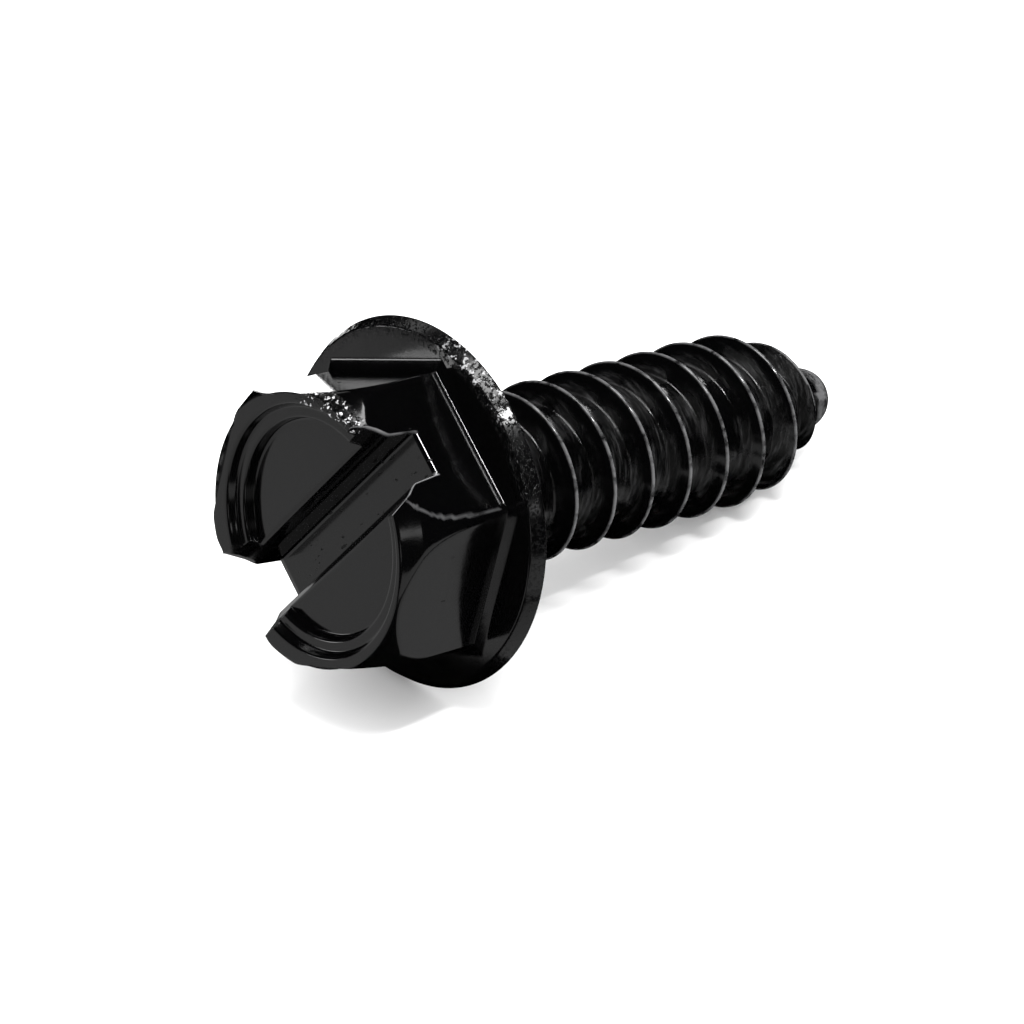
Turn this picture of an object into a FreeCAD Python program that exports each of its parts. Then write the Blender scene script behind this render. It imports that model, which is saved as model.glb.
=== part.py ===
import FreeCAD, Part
import math
import os

# Slotted hex washer head sheet metal screw, one forged and rolled piece.
# It is drawn standing on its head: bearing face of the washer at zero, head below it, point above it,
# slot along X. At the end it is laid down as it comes to rest.
# All lengths are in millimetres and all angles in degrees.

# Hex head
across_flats = 9.32
head_height = 4.84
corner_draft = 0.11
shoulder_height = 1.79
lip_radius = 4.80
crown_offset = 0.30
crown_offset_angle = 210

# Washer forged in one with the head
washer_diameter = 12.95
washer_thickness = 0.586
rim_draft = 0.285
rim_edge_chamfer = 0.12

# Bevelled foot between the washer and the hex
foot_width = 0.37
foot_height = 0.13

# Round dish in the top of the head, with one ledge
dish_radius = 4.34
dish_depth = 0.69
dish_floor_radius = 3.72
ledge_radius = 4.20
ledge_depth = 0.30
dish_wall_draft = 0.08

# Driving slot across two flats
slot_width = 1.66
slot_depth = 2.07
slot_wall_draft = 0.10
slot_wall_height = 1.02
slot_edge_width = 2.44
slot_mouth_slope = 0.57

# Shank and point
length_under_head = 19.50
root_diameter = 4.80
neck_flare = 0.75
core_taper_start = 14.20
nose_radius = 1.15

# Rolled thread
thread_diameter = 6.20
thread_pitch = 1.814
flank_angle = 30.0
crest_width = 0.08
thread_start = 1.62
rise_turns = 0.33
runout_turns = 0.55
thread_phase = 2.454
point_curve_start = 13.90
point_curve_radius = 6.00

# How it lies: the side of the head that is underneath, measured from the slot
underside_angle = 141.75

# How finely the shank is drawn
steps_per_turn = 8

washer_radius = washer_diameter / 2
thread_radius = thread_diameter / 2
root_radius = root_diameter / 2
corner_radius = across_flats / 2 / math.cos(math.radians(30))
washer_top = -washer_thickness
hex_base = washer_top - foot_height
head_top = -head_height
dish_floor = head_top + dish_depth
slot_floor = head_top + slot_depth


def point(radius, height):
    return FreeCAD.Vector(radius, 0, height)


def line(start, end):
    return Part.LineSegment(start, end).toShape()


def arc_leaving(start, direction, end):
    """Arc in the XZ plane that leaves start along direction and ends at end."""
    side = FreeCAD.Vector(-direction.z, 0, direction.x)
    side.normalize()
    chord = end - start
    radius = chord.dot(chord) / (2 * chord.dot(side))
    centre = start + side * radius
    outward = (start + end) * 0.5 - centre
    outward.normalize()
    middle = centre + outward * abs(radius)
    return Part.Arc(start, middle, end).toShape()


def turned(edges):
    """Solid of one closed outline in the XZ plane turned about Z."""
    face = Part.Face(Part.Wire(edges))
    return face.revolve(FreeCAD.Vector(), FreeCAD.Vector(0, 0, 1), 360)


def hexagon(circumradius, height):
    corners = []
    for index in range(7):
        angle = math.radians(30 + 60 * index)
        x = circumradius * math.cos(angle)
        y = circumradius * math.sin(angle)
        corners.append(FreeCAD.Vector(x, y, height))
    return Part.makePolygon(corners)


def nose_centre_height():
    return length_under_head - nose_radius


def core_taper_angle():
    """Half angle of the cone that touches the round nose."""
    rise = nose_centre_height() - core_taper_start
    to_centre = math.hypot(root_radius, rise)
    return math.atan2(root_radius, rise) - math.asin(nose_radius / to_centre)


def make_washer():
    """Washer with a drafted rim and a chamfered lower edge, without the shank."""
    rim_top = point(washer_radius - rim_draft, washer_top)
    rim_foot = point(washer_radius, -rim_edge_chamfer)
    rim_inner = point(washer_radius - rim_edge_chamfer, 0)
    return turned([
        line(point(0, washer_top), rim_top),
        line(rim_top, rim_foot),
        line(rim_foot, rim_inner),
        line(rim_inner, point(0, 0)),
        line(point(0, 0), point(0, washer_top)),
    ])


def make_crown():
    """Turned envelope, a little off centre, that rounds the corners of the hex towards the top."""
    crown_radius = corner_radius + crown_offset
    below = point(crown_radius, hex_base)
    shoulder = point(crown_radius - corner_draft, head_top + shoulder_height)
    lip = point(lip_radius, head_top)
    crown = turned([
        line(point(0, washer_top), point(washer_radius, washer_top)),
        line(point(washer_radius, washer_top), point(washer_radius, hex_base)),
        line(point(washer_radius, hex_base), below),
        line(below, shoulder),
        arc_leaving(shoulder, shoulder - below, lip),
        line(lip, point(0, head_top)),
        line(point(0, head_top), point(0, washer_top)),
    ])
    angle = math.radians(crown_offset_angle)
    crown.translate(FreeCAD.Vector(math.cos(angle), math.sin(angle), 0) * crown_offset)
    return crown


def make_hex():
    """Hex with rounded corners on its bevelled foot."""
    foot_radius = corner_radius + foot_width / math.cos(math.radians(30))
    foot = Part.makeLoft([hexagon(foot_radius, washer_top), hexagon(corner_radius, hex_base)], True, True)
    prism = Part.Face(hexagon(corner_radius, hex_base)).extrude(FreeCAD.Vector(0, 0, head_top - hex_base))
    return foot.fuse(prism.common(make_crown()))


def make_dish():
    """Cutter for the round dish and its ledge."""
    above = head_top - dish_depth
    ledge = head_top + ledge_depth
    return turned([
        line(point(0, above), point(dish_radius, above)),
        line(point(dish_radius, above), point(dish_radius, head_top)),
        line(point(dish_radius, head_top), point(ledge_radius, ledge)),
        line(point(ledge_radius, ledge), point(dish_floor_radius + dish_wall_draft, ledge)),
        line(point(dish_floor_radius + dish_wall_draft, ledge), point(dish_floor_radius, dish_floor)),
        line(point(dish_floor_radius, dish_floor), point(0, dish_floor)),
        line(point(0, dish_floor), point(0, above)),
    ])


def make_slot():
    """Cutter for the driving slot: drafted walls that roll outwards at the dish floor."""
    above = head_top - slot_depth
    side = slot_floor - slot_wall_height
    mouth = slot_edge_width / 2 + slot_mouth_slope * (dish_floor - above)
    profile = []
    for sign in (1, -1):
        foot = FreeCAD.Vector(0, sign * slot_width / 2, slot_floor)
        wall = FreeCAD.Vector(0, sign * (slot_width / 2 + slot_wall_draft), side)
        edge = FreeCAD.Vector(0, sign * slot_edge_width / 2, dish_floor)
        top = FreeCAD.Vector(0, sign * mouth, above)
        profile.append([foot, wall, edge, top])
    right, left = profile
    outline = right + left[::-1] + right[:1]
    half_length = washer_radius
    face = Part.Face(Part.makePolygon(outline))
    face.translate(FreeCAD.Vector(-half_length, 0, 0))
    return face.extrude(FreeCAD.Vector(2 * half_length, 0, 0))


def nose_start_height():
    return nose_centre_height() + nose_radius * math.sin(core_taper_angle())


def core_radius_at(height):
    """Radius of the core between the neck and the round nose."""
    return root_radius - max(0.0, height - core_taper_start) * math.tan(core_taper_angle())


def crest_radius_at(height):
    """Crest radius: full along the shank, then falling on an arc towards the point."""
    past = min(max(0.0, height - point_curve_start), point_curve_radius)
    return thread_radius - point_curve_radius + math.sqrt(point_curve_radius ** 2 - past ** 2)


def thread_turns():
    """Whole turns between the start of the thread and the round nose."""
    return int((nose_start_height() - thread_start) / thread_pitch)


def thread_share(turn):
    """Share of the full thread that stands at a turn: it rises from nothing and runs out to nothing."""
    share = min(1.0, turn / rise_turns, (thread_turns() - turn) / runout_turns)
    return math.sin(math.pi / 2 * max(0.0, share))


def thread_section(turn):
    """Radius and height of the four corners of the thread at one turn."""
    height = thread_start + thread_pitch * turn
    share = thread_share(turn)
    core = core_radius_at(height)
    ridge = share * max(0.0, crest_radius_at(height) - core)
    half_crest = share * crest_width / 2
    half_foot = half_crest + ridge * math.tan(math.radians(flank_angle))
    crest = core + ridge
    return [(core_radius_at(height - half_foot), height - half_foot), (crest, height - half_crest),
            (crest, height + half_crest), (core_radius_at(height + half_foot), height + half_foot)]


def thread_angle(turn):
    return 2 * math.pi * (turn + (thread_start - thread_phase) / thread_pitch)


def thread_tracks():
    """The four corners of the thread carried round the core as smooth curves, one unit to a turn."""
    turns = thread_turns()
    count = turns * steps_per_turn
    positions = [turns * index / count for index in range(count + 1)]
    tracks = []
    for corner in range(4):
        places = []
        for turn in positions:
            radius, height = thread_section(turn)[corner]
            angle = thread_angle(turn)
            places.append(FreeCAD.Vector(radius * math.cos(angle), radius * math.sin(angle), height))
        curve = Part.BSplineCurve()
        curve.interpolate(Points=places, Parameters=positions)
        tracks.append(curve)
    return tracks


def half_turned_faces(edges):
    """Faces swept by an open outline in the XZ plane turned about Z, in two halves."""
    axis = FreeCAD.Vector(0, 0, 1)
    faces = []
    for half in (0, 1):
        outline = Part.Wire(edges)
        outline.rotate(FreeCAD.Vector(), axis, math.degrees(thread_angle(half / 2)))
        faces += outline.revolve(FreeCAD.Vector(), axis, 180).Faces
    return faces


def half_ring(radius, height, turn):
    """Half circle round the axis that begins where the thread stands at a turn."""
    circle = Part.Circle(FreeCAD.Vector(0, 0, height), FreeCAD.Vector(0, 0, 1), radius)
    return circle.toShape(thread_angle(turn), thread_angle(turn) + math.pi)


def ruled_face(edge, neighbour):
    """Face of straight lines between two edges that run the same way."""
    same_way = 1
    return Part.makeRuledSurface(edge, neighbour, same_way)


def make_thread_faces():
    """Flanks, crest and root in half turns, and the wedges of core below the first and above the last."""
    turns = thread_turns()
    tracks = thread_tracks()
    lower_foot, upper_foot = tracks[0], tracks[-1]
    faces = []
    for half in range(2 * turns):
        first, last = half / 2, (half + 1) / 2
        corners = [track.toShape(first, last) for track in tracks]
        for edge, neighbour in zip(corners, corners[1:]):
            faces.append(ruled_face(edge, neighbour))
        if last <= turns - 1:
            faces.append(ruled_face(corners[-1], lower_foot.toShape(first + 1, last + 1)))
    for half in (0, 1):
        first, last = half / 2, (half + 1) / 2
        ring = half_ring(core_radius_at(thread_start), thread_start, first)
        faces.append(ruled_face(ring, lower_foot.toShape(first, last)))
        end = thread_start + thread_pitch * turns
        ring = half_ring(core_radius_at(end), end, first)
        faces.append(ruled_face(upper_foot.toShape(turns - 1 + first, turns - 1 + last), ring))
    return faces


def make_neck_faces():
    foot = point(root_radius + neck_flare, 0)
    top = point(root_radius, neck_flare)
    return half_turned_faces([line(foot, top), line(top, point(root_radius, thread_start))])


def make_nose_faces():
    taper = core_taper_angle()
    start_height = thread_start + thread_pitch * thread_turns()
    start = point(core_radius_at(start_height), start_height)
    round_start = point(nose_radius * math.cos(taper), nose_start_height())
    end = point(0, length_under_head)
    return half_turned_faces([line(start, round_start), arc_leaving(round_start, round_start - start, end)])


def make_shank():
    """Neck, threaded core and nose sewn into one solid that stands on the bearing face."""
    foot = [half_ring(root_radius + neck_flare, 0, turn) for turn in (0, 0.5)]
    faces = make_neck_faces() + make_thread_faces() + make_nose_faces()
    faces.append(Part.Face(Part.Wire(foot)))
    shell = Part.makeShell(faces)
    shell.sewShape()
    shank = Part.makeSolid(shell)
    if shank.Volume < 0:
        shank.reverse()
    return shank


def make_screw():
    head = make_washer().fuse(make_hex()).removeSplitter().cut(make_dish()).cut(make_slot())
    return head.fuse(make_shank())


def lying_tilt():
    """Angle at which a straight floor touches the corner of the rim and the lowest crest near the point."""
    tilts = []
    for turn in range(int(length_under_head / thread_pitch) + 1):
        height = thread_phase + thread_pitch * (turn + underside_angle / 360)
        if thread_start < height < thread_start + thread_pitch * thread_turns():
            drop = washer_radius - crest_radius_at(height)
            for edge in (height - crest_width / 2, height + crest_width / 2):
                tilts.append(math.atan2(drop, edge + rim_edge_chamfer))
    return math.degrees(min(tilts))


def lay_down(screw):
    """Turn the underside to the floor, tip the screw over and set it on the floor about the origin."""
    origin = FreeCAD.Vector()
    laid = screw.copy()
    laid.rotate(origin, FreeCAD.Vector(0, 0, 1), -underside_angle)
    laid.rotate(origin, FreeCAD.Vector(0, 1, 0), 90 + lying_tilt())
    box = laid.optimalBoundingBox(False)
    laid.translate(FreeCAD.Vector(-box.Center.x, -box.Center.y, -box.ZMin))
    return laid


os.makedirs("parts", exist_ok=True)
screw = lay_down(make_screw())
screw.exportStep("parts/screw.step")
box = screw.optimalBoundingBox(False)
print("lying tilt", round(lying_tilt(), 3))
print("box", [round(value, 3) for value in (box.XMin, box.XMax, box.YMin, box.YMax, box.ZMin, box.ZMax)])
print("volume", round(screw.Volume, 2), "solids", len(screw.Solids), "valid", screw.isValid())
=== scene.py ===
import math

import bmesh
import bpy
import numpy as np
from mathutils import Matrix, Vector


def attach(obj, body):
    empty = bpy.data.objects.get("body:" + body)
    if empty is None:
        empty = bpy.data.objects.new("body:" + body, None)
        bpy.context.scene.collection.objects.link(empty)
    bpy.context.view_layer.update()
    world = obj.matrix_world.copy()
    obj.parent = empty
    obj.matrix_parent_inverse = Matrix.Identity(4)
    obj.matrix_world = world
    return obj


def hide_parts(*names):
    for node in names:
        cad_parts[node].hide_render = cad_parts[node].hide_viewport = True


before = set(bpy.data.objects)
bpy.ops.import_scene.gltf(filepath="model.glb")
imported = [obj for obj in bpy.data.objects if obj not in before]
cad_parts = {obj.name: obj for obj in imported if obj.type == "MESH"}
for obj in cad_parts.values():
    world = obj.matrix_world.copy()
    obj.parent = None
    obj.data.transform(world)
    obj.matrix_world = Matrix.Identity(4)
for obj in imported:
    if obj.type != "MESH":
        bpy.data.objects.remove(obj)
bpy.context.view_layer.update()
print("frame loaded")

# The screw is worked out in its own axes, in millimetres: bearing face of the washer at z 0,
# head below it, point above it, slot along x. layDown turns it to the way it lies on the floor.
toMetres = 0.001
fullTurn = 2 * math.pi

lying = dict(
    undersideAngle=141.75,   # degrees round the head from the slot to what lies underneath
    tilt=13.0216,            # degrees that the point dips
)


def layDown(points):
    # Own axes to the way it lies: a turn about z by minus the underside angle, then one about y by
    # 90 degrees and the tilt.
    a = math.radians(-lying["undersideAngle"])
    b = math.radians(90 + lying["tilt"])
    aboutZ = np.array([[math.cos(a), -math.sin(a), 0], [math.sin(a), math.cos(a), 0], [0, 0, 1]])
    aboutY = np.array([[math.cos(b), 0, math.sin(b)], [0, 1, 0], [-math.sin(b), 0, math.cos(b)]])
    return points @ (aboutY @ aboutZ).T


def spread(first, last, count, ends=0.0):
    # count + 1 values from first to last, packed more closely at both ends as ends goes from 0 to 1.
    t = np.linspace(-1, 1, count + 1)
    t = t * (1 + ends / 2 - ends / 2 * t ** 2)
    return first + (last - first) * (t + 1) / 2


def roundedLine(points, radii, steps=4):
    # Polyline through points with each inner corner replaced by a curve,
    # (1 - t)^2 a + 2 t (1 - t) corner + t^2 b, where a and b lie one radius from the corner.
    points = np.asarray(points, float)
    t = np.linspace(0, 1, steps + 1)[:, None]
    parts = [points[:1]]
    for corner, radius in zip(range(1, len(points) - 1), radii):
        before, here, after = points[corner - 1:corner + 2]
        a = here + (before - here) / np.linalg.norm(before - here) * radius
        b = here + (after - here) / np.linalg.norm(after - here) * radius
        parts.append((1 - t) ** 2 * a + 2 * t * (1 - t) * here + t ** 2 * b)
    parts.append(points[-1:])
    return np.concatenate(parts)


def refined(line, longest):
    # The same polyline with stretches longer than longest cut into equal parts.
    parts = [line[:1]]
    for a, b in zip(line, line[1:]):
        cuts = max(1, math.ceil(np.linalg.norm(b - a) / longest))
        t = np.arange(1, cuts + 1)[:, None] / cuts
        parts.append(a + (b - a) * t)
    return np.concatenate(parts)


def sampled(line, count):
    # count + 1 points along a polyline at equal shares of its length.
    steps = np.linalg.norm(np.diff(line, axis=0), axis=1)
    along = np.concatenate([[0], np.cumsum(steps)])
    wanted = np.linspace(0, along[-1], count + 1)
    return np.stack([np.interp(wanted, along, line[:, i]) for i in range(2)], 1)


def softMinimum(a, b, width):
    # The smaller of two values, with the change from one to the other rounded over width.
    near = np.maximum(width - np.abs(a - b), 0)
    return np.minimum(a, b) - near ** 2 / (4 * width)


class Skin:
    # Collects grids of points that together make one surface.

    def __init__(self):
        self.points, self.faces, self.count = [], [], 0

    def grid(self, points):
        # points is rows by columns by 3. Each cell of the grid becomes a face.
        rows, columns = points.shape[:2]
        index = np.arange(rows * columns).reshape(rows, columns) + self.count
        quads = np.stack([index[:-1, :-1], index[:-1, 1:], index[1:, 1:], index[1:, :-1]], -1)
        self.points.append(points.reshape(-1, 3))
        self.faces.append(quads.reshape(-1, 4))
        self.count += rows * columns


head = dict(
    apothem=4.66,           # half the width across flats
    height=4.84,
    crownRadius=5.63,       # turned envelope of the corners, low on the hex
    crownFall=0.78,         # how far the envelope has drawn in at the very top
    crownDecay=0.85,        # millimetres over which most of that is lost again
    crownOffset=0.30,       # how far the envelope stands off centre
    crownOffsetAngle=210,   # and in which direction, in degrees from the slot
    crownSoftness=0.05,     # rounding between the top and the envelope
    edgeSoftness=0.07,      # blend between flats and envelope
    dishRadius=4.34,
    dishFloor=0.69,         # depth of the dish floor under the top
    dishFloorRadius=3.72,
    ledgeRadius=4.20,
    ledgeDepth=0.30,
    wallDraft=0.08,
    dishSoftness=[0.07, 0.05, 0.05],   # roundings of the ledge's two corners and of the dish's edge
    footWidth=0.37,
    footHeight=0.13,
    footSpread=1.15,        # how much more the foot stands out at the corners than at the flats
    footSoftness=[0.03, 0.05],         # roundings of the foot's upper and lower edge
    footMargin=0.04,        # how far above the foot its rounding starts
    footRun=0.12,           # how far outside the foot the washer's rows keep the hex's form
)

slot = dict(
    floorHalf=0.83,         # half width at the floor
    wallHalf=0.93,          # half width where the straight wall ends
    edgeHalf=1.22,          # half width at the dish floor
    mouthSlope=0.57,
    depth=2.07,             # under the top of the head
    wallHeight=1.02,
    giveAngle=28.5,         # degrees within which the columns give way to the slot's width
)

# How fine the mesh is
counts = dict(
    lobeSides=18,           # columns from the slot to the nearest corner of the hex
    lobeFlats=42,           # columns along each flat beyond it
    slotEnd=14,             # columns across the slot's end
    dishFloor=12,           # rows from the slot to the dish floor's edge
    dishWall=22,            # rows of the dish's wall and of the crown outside it
    land=6,                 # rows of the top between them
    hexSides=14,            # rows beside the slot, and as many below it
    washerTop=5,
    crowding=(0.6, 0.75, 0.5),  # how much closer columns and floor rows stand at their ends
    longestRimStep=0.25,    # millimetres between rows on the rim, the bearing face and the neck
    nose=16,
)


def hexRadius(angle, apothem):
    # Distance from the axis to the flats: apothem over the cosine of the angle from the nearest flat.
    offFlat = (angle + math.pi / 6) % (math.pi / 3) - math.pi / 6
    return apothem / np.cos(offFlat)


def crownRadius(z):
    # Envelope of the corners: full radius, less a part that dies away exponentially below the top.
    down = z + head["height"]
    return head["crownRadius"] - head["crownFall"] * np.exp(-down / head["crownDecay"])


def slotHalf(z):
    # Half width of the slot: drafted wall, then a roll outwards, then a slope above the dish floor.
    floor = slot["depth"] - head["height"]
    dishFloor = head["dishFloor"] - head["height"]
    heights = [-head["height"] - 1, dishFloor, floor - slot["wallHeight"], floor]
    widest = slot["edgeHalf"] + slot["mouthSlope"] * (head["dishFloor"] + 1)
    return np.interp(z, heights, [widest, slot["edgeHalf"], slot["wallHalf"], slot["floorHalf"]])


def ringAngles():
    # Angles of the columns of one lobe, closer together near the slot and the corners of the hex.
    edge = math.atan2(slot["floorHalf"], head["apothem"])
    atSlot, atCorners = counts["crowding"][:2]
    return np.concatenate([
        spread(edge, math.pi / 6, counts["lobeSides"], atSlot)[:-1],
        spread(math.pi / 6, math.pi / 2, counts["lobeFlats"], atCorners)[:-1],
        spread(math.pi / 2, 5 * math.pi / 6, counts["lobeFlats"], atCorners)[:-1],
        spread(5 * math.pi / 6, math.pi - edge, counts["lobeSides"], atSlot),
    ])


lobeAngles = ringAngles()
endShares = (np.linspace(-1, 1, counts["slotEnd"] + 1) + 1) / 2


def offCircle(angle, radius, share, sign):
    # Distance from the screw's axis to a circle whose centre stands off it by a share of the crown's
    # offset: o cos(d) + sqrt(r^2 - o^2 sin(d)^2), with d the angle from the offset's direction.
    offset = share * head["crownOffset"]
    off = angle - sign * math.radians(head["crownOffsetAngle"])
    return offset * np.cos(off) + np.sqrt(radius ** 2 - (offset * np.sin(off)) ** 2)


def lobeRow(radius, z, hexed, share, sign):
    # Angles and radii of one row of a lobe. The row ends at the slot's wall, at the angle whose
    # tangent is the half width over the reach. The shift of its ends dies away evenly up to giveAngle.
    half = slotHalf(z)
    turn = math.radians(head["crownOffsetAngle"])
    offset = share * head["crownOffset"]
    cx, cy = offset * math.cos(turn), offset * math.sin(turn) * sign
    across = math.sqrt(radius ** 2 - (half - cy) ** 2)
    reach = [cx + across, across - cx]
    if hexed:
        reach = [min(r, head["apothem"]) for r in reach]
    base, fixed = lobeAngles[0], math.radians(slot["giveAngle"])
    near = np.clip((fixed - lobeAngles) / (fixed - base), 0, 1)
    far = np.clip((fixed - (math.pi - lobeAngles)) / (fixed - base), 0, 1)
    ends = [math.atan2(half, r) - base for r in reach]
    angles = lobeAngles + ends[0] * near - ends[1] * far
    radii = offCircle(angles, radius, share, sign)
    if hexed:
        radii = softMinimum(hexRadius(angles, head["apothem"]), radii, head["edgeSoftness"])
    radii[0], radii[-1] = math.hypot(reach[0], half), math.hypot(reach[1], half)
    return angles, radii


def headProfile():
    # Radius and height of the head's rows, in four stretches: dish wall with its ledge, land on top,
    # rounded edge and crown down to the dish floor's height, and the rest down to the slot floor's.
    top, floor = -head["height"], head["dishFloor"] - head["height"]
    ledge = top + head["ledgeDepth"]
    crownTop = head["crownRadius"] - head["crownFall"]
    inner = roundedLine([
        (head["dishFloorRadius"], floor),
        (head["dishFloorRadius"] + head["wallDraft"], ledge),
        (head["ledgeRadius"], ledge),
        (head["dishRadius"], top),
        ((head["dishRadius"] + crownTop) / 2, top),
    ], head["dishSoftness"])
    inner = sampled(inner[:-1], counts["dishWall"])
    # crown at the top, just below it, which gives the rounded edge its direction, and at the floor
    downs = head["dishFloor"] * np.array([0, 0.15, 1])
    crown = np.stack([crownRadius(top + downs), top + downs], 1)
    edge = roundedLine([crown[0] - (1, 0), *crown[:2]], [head["crownSoftness"]])[1:-1]
    outer = sampled(np.concatenate([edge, crown[-1:]]), counts["dishWall"])
    landRadii = spread(inner[-1, 0], outer[0, 0], counts["land"])
    land = np.stack([landRadii, np.full_like(landRadii, top)], 1)
    zs = spread(floor, slot["depth"] - head["height"], counts["hexSides"])
    lower = np.stack([crownRadius(zs), zs], 1)
    return inner, land, outer, lower


def makeLobe(skin, rows, sign):
    # Half of the head on one side of the slot: a row of points for each radius and height, and the
    # dish floor, chord + (arc - chord) t, from the slot's edge to the first row.
    grid = []
    for radius, z, hexed, share in rows:
        angles, radii = lobeRow(radius, z, hexed, share, sign)
        x, y = radii * np.cos(angles), sign * radii * np.sin(angles)
        grid.append(np.stack([x, y, np.full_like(angles, z)], 1))
    grid = np.array(grid)
    arc, chord = grid[0], grid[0].copy()
    chord[:, 1] = sign * slot["edgeHalf"]
    t = spread(0, 1, counts["dishFloor"], counts["crowding"][2])[:, None, None]
    skin.grid(chord + (arc - chord) * t)
    skin.grid(grid)
    return grid, chord


def makeSlotWall(skin, grid, chord, sign):
    # The lobe's wall along the slot, with y at the slot's half width. Above the dish floor it has an
    # ear at each end, inside (1 - t) + outside t at each height. Below, one row follows each row of
    # the lobe.
    insideRows, landSteps = counts["dishWall"] + 1, counts["land"]
    firstOut = insideRows - 1 + landSteps
    t = np.linspace(0, 1, landSteps + 1)[None, :, None]
    feet = []
    for end in (0, -1):
        inside = grid[:insideRows, end]
        outside = grid[firstOut:firstOut + insideRows, end][::-1]
        ear = inside[:, None] * (1 - t) + outside[:, None] * t
        ear[..., 1] = sign * slotHalf(ear[..., 2])
        ear[-1] = grid[insideRows - 1:firstOut + 1, end]
        skin.grid(ear)
        feet.append(ear[0])
    top = np.concatenate([feet[0][::-1], chord[1:-1], feet[1]])
    wall = []
    for row in grid[firstOut + insideRows - 1:]:
        line = top.copy()
        line[:, 0] *= row[0, 0] / top[0, 0]
        line[:, 1], line[:, 2] = sign * slotHalf(row[0, 2]), row[0, 2]
        line[0], line[-1] = row[0], row[-1]
        wall.append(line)
    skin.grid(np.array(wall))
    return wall[-1]


def makeHead(skin):
    # Two lobes with their slot walls, and the slot's floor between the walls' last rows. Returns the
    # lobes' last rows and the points of the slot mouth's edges at the end that shows.
    inner, land, outer, lower = headProfile()
    rows = [(r, z, False, 0) for r, z in inner]
    rows += [(r, z, False, (i + 1) / counts["land"]) for i, (r, z) in enumerate(land[1:-1])]
    rows += [(r, z, True, 1) for r, z in np.concatenate([outer, lower[1:]])]
    rings, floorEdges, mouth = [], [], []
    for sign in (1, -1):
        grid, chord = makeLobe(skin, rows, sign)
        floorEdges.append(makeSlotWall(skin, grid, chord, sign))
        rings.append(grid[-1])
        mouth.append(grid[len(inner) + counts["land"] // 2:, 0])
    skin.grid(floorEdges[0] + (floorEdges[1] - floorEdges[0]) * endShares[:, None, None])
    return *rings, np.concatenate(mouth)


def fullRing(plus, minus):
    # Closed row round the screw from the two lobes' rows and straight ends across the slot.
    s = endShares[1:-1, None]
    farEnd = plus[-1] + (minus[-1] - plus[-1]) * s
    nearEnd = minus[0] + (plus[0] - minus[0]) * s
    return np.concatenate([plus, farEnd, minus[::-1], nearEnd, plus[:1]])


washer = dict(
    radius=6.475,
    thickness=0.586,
    rimDraft=0.285,
    edgeChamfer=0.12,
    rimRun=0.08,            # how far inside the rim its rounding starts
    softness=0.06,          # rounding of each of its edges
)

shank = dict(
    length=19.50,
    rootRadius=2.40,
    neckFlare=0.75,
    neckSoftness=[0.15, 0.3],   # roundings where the flare starts and ends
    neckEnd=1.2,            # height where the thread's rows start
    taperStart=14.20,
    noseRadius=1.15,
    noseStart=18.75,        # height where the thread's rows end
    threadRadius=3.10,
    pitch=1.814,
    flankAngle=30.0,
    crestWidth=0.08,
    crestSoftness=0.02,
    threadStart=1.62,
    riseTurns=0.33,
    runoutTurns=0.55,
    phase=2.454,
    curveStart=13.90,
    curveRadius=6.00,
    footRound=0.10,         # reach of the rounding where a flank meets the root
    footFill=0.28,          # how much of that it fills
    rootRows=[1.0, 0.7, 0.4, 0.15, 0.0],    # shares of the way from a flank's foot to mid root
    flankRows=[0.92, 0.7, 0.35, 0.1, 0.0],  # and from the crest's edge to the flank's foot
)


def makeRings(skin, ring):
    # Hex below the slot, foot, washer and neck. A row holds a radius for each angle of the first row:
    # the soft minimum of flats and crown on the hex and the foot, and one radius from the rim on.
    angles = np.unwrap(np.arctan2(ring[:, 1], ring[:, 0]))
    washerTop = -washer["thickness"]
    footTop = -(washer["thickness"] + head["footHeight"])
    rows = []
    for z in spread(slot["depth"] - head["height"], footTop - head["footMargin"], counts["hexSides"]):
        crown = offCircle(angles, crownRadius(z), 1, 1)
        flats = hexRadius(angles, head["apothem"])
        rows.append((softMinimum(flats, crown, head["edgeSoftness"]), z))
    rows[0] = (np.hypot(ring[:, 0], ring[:, 1]), ring[0, 2])
    foot = roundedLine([
        (0, footTop - head["footMargin"]),
        (0, footTop),
        (head["footWidth"], washerTop),
        (head["footWidth"] + head["footRun"], washerTop),
    ], head["footSoftness"])
    for grown, z in foot[1:]:
        flats = hexRadius(angles, head["apothem"] + grown)
        crown = offCircle(angles, head["crownRadius"], 1, 1) + grown * head["footSpread"]
        rows.append((softMinimum(flats, crown, head["edgeSoftness"]), z))
    edge = rows[-1][0]
    rimTop = washer["radius"] - washer["rimDraft"]
    for t in spread(0, 1, counts["washerTop"])[1:-1]:
        rows.append((edge + (rimTop - washer["rimRun"] - edge) * t, washerTop))
    rim = roundedLine([
        (rimTop - washer["rimRun"], washerTop),
        (rimTop, washerTop),
        (washer["radius"], -washer["edgeChamfer"]),
        (washer["radius"] - washer["edgeChamfer"], 0),
        (shank["rootRadius"] + shank["neckFlare"], 0),
        (shank["rootRadius"], shank["neckFlare"]),
        (shank["rootRadius"], shank["neckEnd"]),
    ], [washer["softness"]] * 3 + shank["neckSoftness"])
    rows += [(np.full_like(angles, r), z) for r, z in refined(rim, counts["longestRimStep"])]
    radii, heights = (np.array(column) for column in zip(*rows))
    heights = np.broadcast_to(heights[:, None], radii.shape)
    skin.grid(np.stack([radii * np.cos(angles), radii * np.sin(angles), heights], -1))
    return angles


def taperAngle():
    # Half angle of the cone that touches the nose: the angle to the nose's centre from where the
    # taper starts, less the angle whose sine is the nose's radius over that distance.
    rise = shank["length"] - shank["noseRadius"] - shank["taperStart"]
    distance = math.hypot(shank["rootRadius"], rise)
    return math.atan2(shank["rootRadius"], rise) - math.asin(shank["noseRadius"] / distance)


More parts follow.
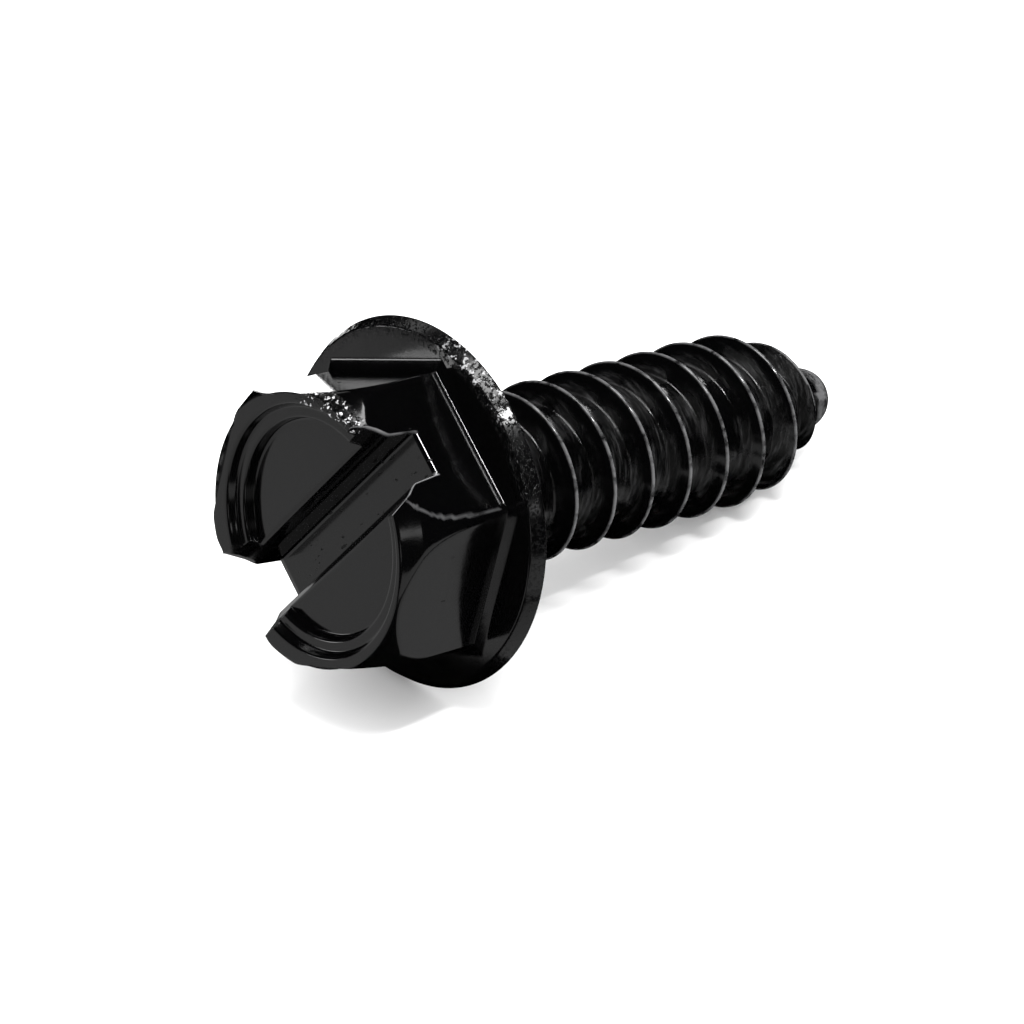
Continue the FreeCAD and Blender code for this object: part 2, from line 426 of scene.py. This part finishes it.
def coreRadius(z):
    # Straight core, then a cone that touches the round nose, then the nose.
    slope = taperAngle()
    centre = shank["length"] - shank["noseRadius"]
    cone = shank["rootRadius"] - np.maximum(0, z - shank["taperStart"]) * math.tan(slope)
    ball = np.sqrt(np.maximum(shank["noseRadius"] ** 2 - (z - centre) ** 2, 0))
    return np.where(z > centre + shank["noseRadius"] * math.sin(slope), ball, cone)


def crestRadius(z):
    # Thread radius, and past the curve's start an arc that bends inwards: R - c + sqrt(c^2 - past^2).
    past = np.clip(z - shank["curveStart"], 0, shank["curveRadius"])
    arc = np.sqrt(shank["curveRadius"] ** 2 - past ** 2)
    return shank["threadRadius"] - shank["curveRadius"] + arc


def makeThread(skin, angles):
    # Rows follow the helix, so the crest is a row. At each column the crest number k stands at
    # z = phase + pitch * (k + angle / full turn), and the rows between two crests are shared out over
    # crest, flank and root. Rows that would pass an end are held there and welded away.
    low, high = shank["neckEnd"], shank["noseStart"]
    pitch = shank["pitch"]
    noseEnd = shank["length"] - shank["noseRadius"] * (1 - math.sin(taperAngle()))
    turns = int((noseEnd - shank["threadStart"]) / pitch)
    slope = math.tan(math.radians(shank["flankAngle"]))
    crestNumbers = np.arange(-2, 12)[None, :, None]
    column = (angles / fullTurn)[:, None, None]
    crest = shank["phase"] + pitch * (crestNumbers + column)
    turn = (crest - shank["threadStart"]) / pitch
    share = np.minimum(turn / shank["riseTurns"], (turns - turn) / shank["runoutTurns"])
    share = np.sin(math.pi / 2 * np.clip(share, 0, 1))
    ridge = share * np.maximum(crestRadius(crest) - coreRadius(crest), 0)
    halfCrest = share * shank["crestWidth"] / 2
    foot = halfCrest + ridge * slope
    # offsets of the rows from the crest, from the middle of one root to the middle of the next
    rootRows = foot + (pitch / 2 - foot) * np.array(shank["rootRows"])
    flankRows = halfCrest + (foot - halfCrest) * np.array(shank["flankRows"])
    side = np.concatenate([rootRows, flankRows], -1)
    middle = np.zeros_like(side[..., :1])
    offset = np.concatenate([-side, middle, side[..., ::-1][..., :-1]], -1)
    # height over the core: the flank's slope up to the ridge, and a fillet round the flank's foot
    rise = np.clip((foot - np.abs(offset)) / slope, 0, None)
    rise = softMinimum(rise, ridge + 0 * rise, shank["crestSoftness"])
    reach = shank["footRound"] * slope * 2 + 1e-9
    near = np.clip(1 - np.abs(np.abs(offset) - foot) / reach, 0, 1)
    rise = rise + np.minimum(ridge, 1) * shank["footRound"] * shank["footFill"] * near ** 2
    z = (crest + offset).reshape(len(angles), -1)
    rise = np.maximum(rise, 0).reshape(len(angles), -1)
    rise = np.where((z < low) | (z > high), 0, rise)
    z = np.clip(z, low, high)
    r = coreRadius(z) + rise
    cos, sin = np.cos(angles), np.sin(angles)
    skin.grid(np.stack([r * cos[:, None], r * sin[:, None], z], -1))
    # nose: arcs of the ball from the last ring to the end of the point
    centre = shank["length"] - shank["noseRadius"]
    up = np.linspace(math.asin((high - centre) / shank["noseRadius"]), math.pi / 2, counts["nose"])
    r, z = shank["noseRadius"] * np.cos(up), centre + shank["noseRadius"] * np.sin(up)
    r[0], r[-1] = coreRadius(np.array(high)), 0
    skin.grid(np.stack([r[:, None] * cos, r[:, None] * sin, z[:, None] + 0 * angles], -1))


def makeScrew():
    # Head, rings and thread on one skin. Each starts with the row that the one before ends with.
    skin = Skin()
    plus, minus, mouthEdge = makeHead(skin)
    angles = makeRings(skin, fullRing(plus, minus))
    makeThread(skin, angles)
    return np.concatenate(skin.points), np.concatenate(skin.faces), mouthEdge


def meshFrom(name, points, faces):
    # Points closer than a third of a micrometre become one, which closes the surface and removes the
    # faces of rows that are held at one height.
    mesh = bpy.data.meshes.new(name)
    mesh.from_pydata(points, [], faces.tolist())
    build = bmesh.new()
    build.from_mesh(mesh)
    bmesh.ops.remove_doubles(build, verts=build.verts, dist=0.0003)
    bmesh.ops.recalc_face_normals(build, faces=build.faces)
    openEdges = sum(len(edge.link_faces) != 2 for edge in build.edges)
    build.to_mesh(mesh)
    build.free()
    mesh.shade_smooth()
    triangles = len(mesh.loops) - 2 * len(mesh.polygons)
    print("points", len(mesh.vertices), "triangles", triangles, "open edges", openEdges)
    return mesh


# Where a lighter colour is painted in: along the thread's crests, partly coat wear and partly a
# painted highlight, and at the end of the slot that shows, a painted highlight along the slot's mouth
# and along the ridge between the flat and the rounded corner beside it.
wearAndHighlights = dict(
    crestsFrom=1.6,         # height above which the thread's crests are painted lighter
    crestReach=0.02,        # how close to the crest's radius
    mouthReach=0.002,       # how close to the points of the mouth's edges
    mouth=(1.0, 0.5),       # how strongly the edge is painted with a highlight on the side of y > 0 and on the other
    ridge=0.2,              # how strongly the ridge is painted with a highlight
    ridgeReach=0.03,        # how nearly flat and crown have the same radius there
    ridgeRadius=4.6,        # the ridge lies outside this radius,
    ridgeAngles=(0.12, 0.52),   # between these angles, in radians,
    ridgeHeight=-0.9,       # and below this height
)


def store(mesh, name, kind, field, values):
    # Keeps one value for each point under a name that the material reads.
    attribute = mesh.attributes.new(name, kind, "POINT")
    attribute.data.foreach_set(field, values.astype(np.float32).ravel())


def markWearAndHighlights(mesh, own, mouthEdge):
    # A point is on a crest where its radius is the crest's, on the mouth where it is one of the
    # edge's points, and on the ridge where the flats' radius is the crown's.
    x, y, z = own.T
    radius, angle = np.hypot(x, y), np.arctan2(y, x)
    # crests are painted lighter: partly coat wear, partly a painted highlight
    onCrest = (z > wearAndHighlights["crestsFrom"]) & (crestRadius(z) - radius < wearAndHighlights["crestReach"])
    toMouth = np.abs(own[:, None] - mouthEdge).max(-1).min(-1)
    flats, crown = hexRadius(angle, head["apothem"]), offCircle(angle, crownRadius(z), 1, 1)
    first, last = wearAndHighlights["ridgeAngles"]
    onRidge = (np.abs(flats - crown) < wearAndHighlights["ridgeReach"]) & (radius > wearAndHighlights["ridgeRadius"])
    onRidge &= (angle > first) & (angle < last) & (z < wearAndHighlights["ridgeHeight"])
    onMouth = toMouth < wearAndHighlights["mouthReach"]
    # the mouth's edges and the ridge get a painted highlight in the colour
    wearAndHighlight = np.where(onMouth, np.where(y > 0, *wearAndHighlights["mouth"]), onRidge * wearAndHighlights["ridge"])
    store(mesh, "ownPlace", "FLOAT_VECTOR", "vector", own)
    store(mesh, "crestLine", "FLOAT", "value", onCrest)
    store(mesh, "mouthLine", "FLOAT", "value", wearAndHighlight)
    print("worn edge points", int((wearAndHighlight > 0).sum()))


def standOnFloor(mesh, own):
    # The points as they lie, moved so that their box is centred on x and y and starts at z 0.
    laid = layDown(own)
    shift = -(laid.min(0) + laid.max(0)) / 2
    shift[2] = -laid[:, 2].min()
    mesh.vertices.foreach_set("co", ((laid + shift) * toMetres).astype(np.float32).ravel())
    mesh.update()
    return shift


points, faces, mouthEdge = makeScrew()
print("screw worked out")
mesh = meshFrom("blackScrew", points, faces)
own = np.zeros(3 * len(mesh.vertices), np.float32)
mesh.vertices.foreach_get("co", own)
own = own.reshape(-1, 3)
markWearAndHighlights(mesh, own, mouthEdge)
shift = standOnFloor(mesh, own)
blackScrew = bpy.data.objects.new("blackScrew", mesh)
bpy.context.scene.collection.objects.link(blackScrew)
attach(blackScrew, "root")
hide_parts("screw")
print("screw in place, shift", shift.round(3))


class Value:
    # A number socket that can be written in sums: each operator adds one Math node.
    def __init__(self, nodes, socket):
        self.nodes, self.socket = nodes, socket

    def math(self, operation, other, swap=False):
        inputs = [other, self] if swap else [self, other]
        node = self.nodes.add("ShaderNodeMath", {"operation": operation}, dict(enumerate(inputs)))
        return Value(self.nodes, node.outputs[0])

    def __add__(self, other): return self.math("ADD", other)
    def __sub__(self, other): return self.math("SUBTRACT", other)
    def __mul__(self, other): return self.math("MULTIPLY", other)
    def __truediv__(self, other): return self.math("DIVIDE", other)
    def __pow__(self, other): return self.math("POWER", other)
    def __radd__(self, other): return self.math("ADD", other, swap=True)
    def __rsub__(self, other): return self.math("SUBTRACT", other, swap=True)
    def __rmul__(self, other): return self.math("MULTIPLY", other, swap=True)
    def __rtruediv__(self, other): return self.math("DIVIDE", other, swap=True)
    def atMost(self, other): return self.math("MINIMUM", other)


class Nodes:
    # One material and its nodes.
    def __init__(self, name):
        self.material = bpy.data.materials.new(name)
        self.material.use_nodes = True
        self.tree = self.material.node_tree
        self.tree.nodes.clear()

    def feed(self, socket, value):
        # A socket takes a link from a Value or a socket, and otherwise a fixed value.
        if isinstance(value, Value):
            self.tree.links.new(value.socket, socket)
        elif isinstance(value, bpy.types.NodeSocket):
            self.tree.links.new(value, socket)
        else:
            socket.default_value = value

    def add(self, kind, settings=(), values=()):
        # One node of a type: its settings first, then the values or links of its sockets.
        node = self.tree.nodes.new(kind)
        for key, value in dict(settings).items():
            setattr(node, key, value)
        for key, value in dict(values).items():
            self.feed(node.inputs[key], value)
        return node

    def stored(self, name, output="Fac"):
        # What the mesh keeps for each point under a name.
        return self.add("ShaderNodeAttribute", {"attribute_name": name}).outputs[output]

    def vector(self, x, y, z):
        # Three numbers as one vector.
        return self.add("ShaderNodeCombineXYZ", {}, {"X": x, "Y": y, "Z": z}).outputs[0]

    def noise(self, place, scale, detail=2, rough=0.5):
        # Scattered detail about 1 / scale millimetres in size.
        node = self.add("ShaderNodeTexNoise", {"noise_dimensions": "3D"}, {
            "Vector": place, "Scale": scale, "Detail": detail, "Roughness": rough})
        return Value(self, node.outputs[0])

    def ramp(self, value, low, high):
        # 0 below low and 1 above high, with a smooth rise between them. Where low is the larger, it
        # falls instead.
        rising = low < high
        node = self.add("ShaderNodeMapRange", {"interpolation_type": "SMOOTHSTEP"}, {
            "Value": value, "From Min": min(low, high), "From Max": max(low, high),
            "To Min": 0.0 if rising else 1.0, "To Max": 1.0 if rising else 0.0})
        return Value(self, node.outputs[0])


coatLook = dict(
    colour=(0.0007, 0.0007, 0.0008, 1),
    # colour of the bare metal on the crests and of the painted highlights, glints and sheen
    bareAndHighlightColour=(0.50, 0.50, 0.51, 1),
    crestWearAndHighlight=0.17,         # how much the crests are painted lighter: bare metal and a painted highlight
    rootSheen=0.035,         # how much the roots are painted lighter in streaks: a painted sheen
    mouthHighlight=0.55,         # and the edges of the slot's mouth: a painted highlight
    roughness=0.12,
    unevenness=(0.10, 0.06),    # how far large and middling noise change the roughness
    specular=0.5,
    brushedRoughness=0.36,
    brushed=1.5,            # depth of the fine rings in the roots, in hundredths of a millimetre
    speckled=3.4,           # height of the specks on the rim and burrs, in the same unit
    orangePeel=0.30,
    grain=0.05,
    scratched=1.2,          # depth of the scratches on the slot floor
    faintSpecks=(0.15, 0.15, 0.16),     # how much they show on the tip, all the rim and the roots
    rimGlints=0.6,        # how much the painted glints show on the rim, next to 1 on the burrs
    addedRoughness=(0.25, 0.45, 0.05),  # where worn and painted with highlights, scratched and specked
    ringStretch=(2.6, 13.0),            # noise scale round the screw and along it
    scratchStretch=(1.3, 5.0),          # noise scale along the slot and across it
)

# Where each finish sets in: the value at which it starts to show and the value at which it is full.
# Heights and radii are in millimetres, sides are cosines of the angle from one of the directions in
# coatSides, and the others cut patches out of noise.
coatPlaces = dict(
    shankHeight=(0.3, 1.0),
    rootRadius=(2.85, 2.55),
    patchNoise=(0.38, 0.56),
    ringNoise=(0.46, 0.7),
    rimRadius=(5.75, 6.2),
    rimSide=(0.35, 0.85),
    outerRimRadius=(6.15, 6.25),
    glintedRimRadius=(6.0, 6.15),
    glintedRimSide=(0.93, 0.985),
    burrSide=(0.90, 0.96),
    burrRadius=(4.3, 4.45),
    burrHeight=(-4.4, -4.56),
    burrBesideSlot=(-0.7, -1.1),
    tipHeight=(17.5, 18.6),
    speckNoise=(0.5, 0.72),
    glintNoise=(0.57, 0.65),
    slotFloorTop=(-2.95, -2.85),
    slotFloorBottom=(-2.6, -2.7),
    slotFloorRadius=(4.9, 4.8),
    scratchNoise=(0.64, 0.70),
    wearAndHighlightNoise=(0.3, 0.6),
)

coatSides = dict(
    upperRight=(0.85, -0.53),
    # side where the rim's painted glints are strongest
    glintFacing=(0.966, -0.259),
)


def blackCoat():
    # Black gloss with rolled roots, specked rim and burrs and a scratched slot floor. A mask is the
    # product of ramps of the place on the screw, in its own axes. A lighter colour is mixed in by the
    # masks' sum: partly worn metal on the crests, and painted highlights, glints and sheen on the
    # crests, slot mouth, ridge, burrs, rim and roots.
    # The height of the bump is a sum of noises times their masks.
    n = Nodes("blackCoat")

    def within(value, name):
        return n.ramp(value, *coatPlaces[name])

    def towards(name):
        across, along = coatSides[name]
        return (x * across + y * along) / notZero

    place = n.stored("ownPlace", "Vector")
    parts = n.add("ShaderNodeSeparateXYZ", {}, {0: place})
    x, y, z = (Value(n, parts.outputs[i]) for i in range(3))
    radius = (x * x + y * y) ** 0.5
    notZero = radius + 0.01
    crestEdge = Value(n, n.stored("crestLine"))
    mouthEdge = Value(n, n.stored("mouthLine"))

    coarse = n.noise(place, scale=0.55, detail=3, rough=0.55)
    middle = n.noise(place, scale=2.2, detail=4, rough=0.6)
    fine = n.noise(place, scale=9.0, detail=3, rough=0.6)

    # roots: rings along the thread, from noise that is drawn out round the screw. They also get
    # streaks of painted sheen in the colour.
    roundScale, alongScale = coatLook["ringStretch"]
    aroundScrew = n.vector(x / notZero * roundScale, y / notZero * roundScale, z * alongScale)
    rings = n.noise(aroundScrew, scale=1.0, detail=4, rough=0.65)
    root = within(z, "shankHeight") * within(radius, "rootRadius")
    patch = within(n.noise(place, scale=0.75, detail=2, rough=0.5), "patchNoise")
    rolled = root * patch

    # rim of the washer, most on the side that shows at the upper right, with painted glints on one
    # side
    toUpperRight, towardsGlints = towards("upperRight"), towards("glintFacing")
    rim = within(radius, "rimRadius") * within(toUpperRight, "rimSide")
    outerRim = within(radius, "outerRimRadius")
    glintedRim = within(towardsGlints, "glintedRimSide") * within(radius, "glintedRimRadius")
    # burrs where the slot leaves the head
    burrs = (within(toUpperRight, "burrSide") * within(radius, "burrRadius")
             * within(z, "burrHeight") * within(y, "burrBesideSlot"))
    tip = within(z, "tipHeight")
    onTip, onRim, onRoot = coatLook["faintSpecks"]
    specked = (rim + burrs + tip * onTip + outerRim * onRim + root * onRoot).atMost(1.0)
    specks = within(n.noise(place, scale=7.5, detail=3, rough=0.7), "speckNoise")
    # painted glints: bright specks in the colour on the burrs and on one side of the rim
    paintedGlints = (within(n.noise(place, scale=4.5, detail=2, rough=0.8), "glintNoise")
                * (burrs + glintedRim * coatLook["rimGlints"]).atMost(1.0))

    # slot floor: dark scratches and pits along the slot
    onSlotFloor = (within(z, "slotFloorTop") * within(z, "slotFloorBottom")
                   * within(radius, "slotFloorRadius"))
    alongSlot, acrossSlot = coatLook["scratchStretch"]
    stretched = n.noise(n.vector(x * alongSlot, y * acrossSlot, z), scale=1.0, detail=3, rough=0.6)
    scratches = within(stretched, "scratchNoise") * onSlotFloor

    # lighter colour: bare metal and painted highlights on the crests, painted highlights on the slot's
    # mouth and ridge, painted glints on the burrs and rim, painted sheen on the roots
    wearAndHighlight = (crestEdge * within(middle, "wearAndHighlightNoise") * coatLook["crestWearAndHighlight"] + paintedGlints
            + rolled * within(rings, "ringNoise") * coatLook["rootSheen"]
            + mouthEdge * within(coarse, "wearAndHighlightNoise") * coatLook["mouthHighlight"]).atMost(1.0)
    colour = n.add("ShaderNodeMix", {"data_type": "RGBA"}, {
        "Factor": wearAndHighlight, "A": coatLook["colour"], "B": coatLook["bareAndHighlightColour"]}).outputs[2]
    large, middling = coatLook["unevenness"]
    ifWearAndHighlight, ifScratched, ifSpecked = coatLook["addedRoughness"]
    roughness = (coatLook["roughness"] + (coarse - 0.5) * large + (middle - 0.5) * middling
                 + rolled * (coatLook["brushedRoughness"] - coatLook["roughness"])
                 + wearAndHighlight * ifWearAndHighlight + scratches * ifScratched + specked * ifSpecked)
    height = (rings * rolled * coatLook["brushed"]
              + specks * specked * coatLook["speckled"]
              + middle * coatLook["orangePeel"] * (1 - onSlotFloor * 0.5)
              + fine * coatLook["grain"]
              - scratches * coatLook["scratched"])
    bump = n.add("ShaderNodeBump", {}, {"Strength": 1.0, "Distance": 1e-5, "Height": height})
    shader = n.add("ShaderNodeBsdfPrincipled", {}, {
        "Base Color": colour, "Roughness": roughness, "Specular IOR Level": coatLook["specular"],
        "Normal": bump.outputs[0]})
    n.add("ShaderNodeOutputMaterial", {}, {"Surface": shader.outputs[0]})
    return n.material


mesh.materials.append(blackCoat())
print("coat ready")

floorLook = dict(
    colour=(0.86, 0.86, 0.86, 1),
    roughness=0.7,
    specular=0.2,
    halfSize=1.5,           # metres
)


def paleFloor():
    # One flat square at z 0, plain and matt. Lights and shadows fall on it, and the gloss doesn't
    # mirror it.
    n = Nodes("paleFloor")
    shader = n.add("ShaderNodeBsdfPrincipled", {}, {
        "Base Color": floorLook["colour"], "Roughness": floorLook["roughness"],
        "Specular IOR Level": floorLook["specular"]})
    n.add("ShaderNodeOutputMaterial", {}, {"Surface": shader.outputs[0]})
    sheet = bpy.data.meshes.new("floor")
    size = floorLook["halfSize"]
    corners = [(-size, -size, 0), (size, -size, 0), (size, size, 0), (-size, size, 0)]
    sheet.from_pydata(corners, [], [(0, 1, 2, 3)])
    sheet.materials.append(n.material)
    floor = bpy.data.objects.new("floor", sheet)
    floor.visible_glossy = False
    bpy.context.scene.collection.objects.link(floor)


paleFloor()

# Camera: where it stood and how it was turned, in the screw's own axes and millimetres
camera = dict(
    place=(116.9333, 39.6167, -100.1064),
    right=(0.505525, 0.447401, 0.737751),
    up=(0.465623, -0.861320, 0.203282),
    lens=164.83,
    sensorWidth=36,
    shiftX=0.00504,
    shiftY=-0.00920,
    clip=(0.005, 20),       # metres
)


def makeCamera(shift):
    # Place and directions are laid down as the screw is. The camera looks against the cross product
    # of its right and up directions.
    spot = (layDown(np.array([camera["place"]])) + shift)[0] * toMetres
    right = layDown(np.array([camera["right"]]))[0]
    up = layDown(np.array([camera["up"]]))[0]
    back = np.cross(right, up)
    turn = Matrix([[right[i], up[i], back[i]] for i in range(3)])
    data = bpy.data.cameras.new("camera")
    data.lens, data.sensor_width = camera["lens"], camera["sensorWidth"]
    data.shift_x, data.shift_y = camera["shiftX"], camera["shiftY"]
    data.clip_start, data.clip_end = camera["clip"]
    viewer = bpy.data.objects.new("camera", data)
    viewer.matrix_world = Matrix.Translation(Vector(spot)) @ turn.to_4x4()
    bpy.context.scene.collection.objects.link(viewer)
    bpy.context.scene.camera = viewer
    elevation = math.degrees(math.asin(back[2]))
    azimuth = math.degrees(math.atan2(back[0], -back[1]))
    roll = math.degrees(math.asin(right[2] / math.cos(math.radians(elevation))))
    print("camera azimuth %.2f elevation %.2f roll %.2f" % (azimuth, elevation, roll))


makeCamera(shift)

# Soft cards above the screw. Each faces it from an azimuth and elevation in degrees, at a distance,
# with its width and height in metres and its brightness.
raisedCards = dict(
    overheadCard=(0, 90, 0.50, 0.22, 0.22, 9.0),
    edgeCard=(-15, 67, 0.50, 0.15, 0.02, 130.0),
    frontCard=(-20, 17, 0.50, 0.10, 0.05, 1.6),
    rootCard=(108, 29, 0.50, 0.11, 0.07, 11.0),
    hexBounceCard=(-139, 2, 0.50, 0.09, 0.06, 6.5),
    sideCard=(-47, 6, 0.50, 0.14, 0.08, 0.9),
    backCard=(168, 38, 0.50, 0.18, 0.14, 1.0),
)

# White cards that lie on the floor and show only in the gloss: middle, width and depth in
# millimetres, turn in degrees and brightness.
lyingCards = dict(
    headCard=(-30.4, 19.0, 47, 38, 136, 0.52),
    faceCard=(-6.0, -9.6, 10, 7.2, 0, 0.50),
    threadCard=(6.0, -5.6, 15, 3.0, 0, 0.55),
    hexCard=(9.9, 29.5, 7.8, 7.0, 0, 6.0),
    hexGlow=(15.2, 29.5, 2.8, 7.0, 0, 0.12),
    rimCard=(-16, -30, 30, 30, 0, 0.6),
)
lyingHeight = 0.00002       # metres that the lying cards keep off the floor


def makeCard(name, width, height, brightness):
    # Watts for a brightness: brightness times the area times pi.
    data = bpy.data.lights.new(name, "AREA")
    data.shape, data.size, data.size_y = "RECTANGLE", width, height
    data.energy = brightness * width * height * math.pi
    card = bpy.data.objects.new(name, data)
    card.rotation_mode = "QUATERNION"
    bpy.context.scene.collection.objects.link(card)
    return card


def raiseCard(name, azimuth, elevation, distance, width, height, brightness):
    # At the distance along (sin a cos e, -cos a cos e, sin e), and turned back towards the screw.
    a, e = math.radians(azimuth), math.radians(elevation)
    away = Vector((math.sin(a) * math.cos(e), -math.cos(a) * math.cos(e), math.sin(e)))
    card = makeCard(name, width, height, brightness)
    card.location = away * distance
    card.rotation_quaternion = away.to_track_quat("Z", "Y")


def layCard(name, x, y, width, depth, turn, brightness):
    # Facing up from just above the floor, and out of the camera's sight.
    card = makeCard(name, width * toMetres, depth * toMetres, brightness)
    card.location = (x * toMetres, y * toMetres, lyingHeight)
    facingUp = Vector((0, 0, 1)).to_track_quat("-Z", "Y")
    card.rotation_quaternion = Matrix.Rotation(math.radians(turn), 3, "Z").to_quaternion() @ facingUp
    card.visible_camera = False
    card.visible_diffuse = False


def whiteRoom(strength):
    # The room is white to the floor, and black where the screw mirrors it.
    world = bpy.data.worlds.new("studio")
    bpy.context.scene.world = world
    world.use_nodes = True
    background = world.node_tree.nodes["Background"]
    background.inputs[0].default_value = (1, 1, 1, 1)
    background.inputs[1].default_value = strength
    world.cycles_visibility.glossy = False
    bpy.context.scene.view_settings.view_transform = "Standard"


for name, values in raisedCards.items():
    raiseCard(name, *values)
for name, values in lyingCards.items():
    layCard(name, *values)
whiteRoom(strength=2.0)
print("lights and camera ready")
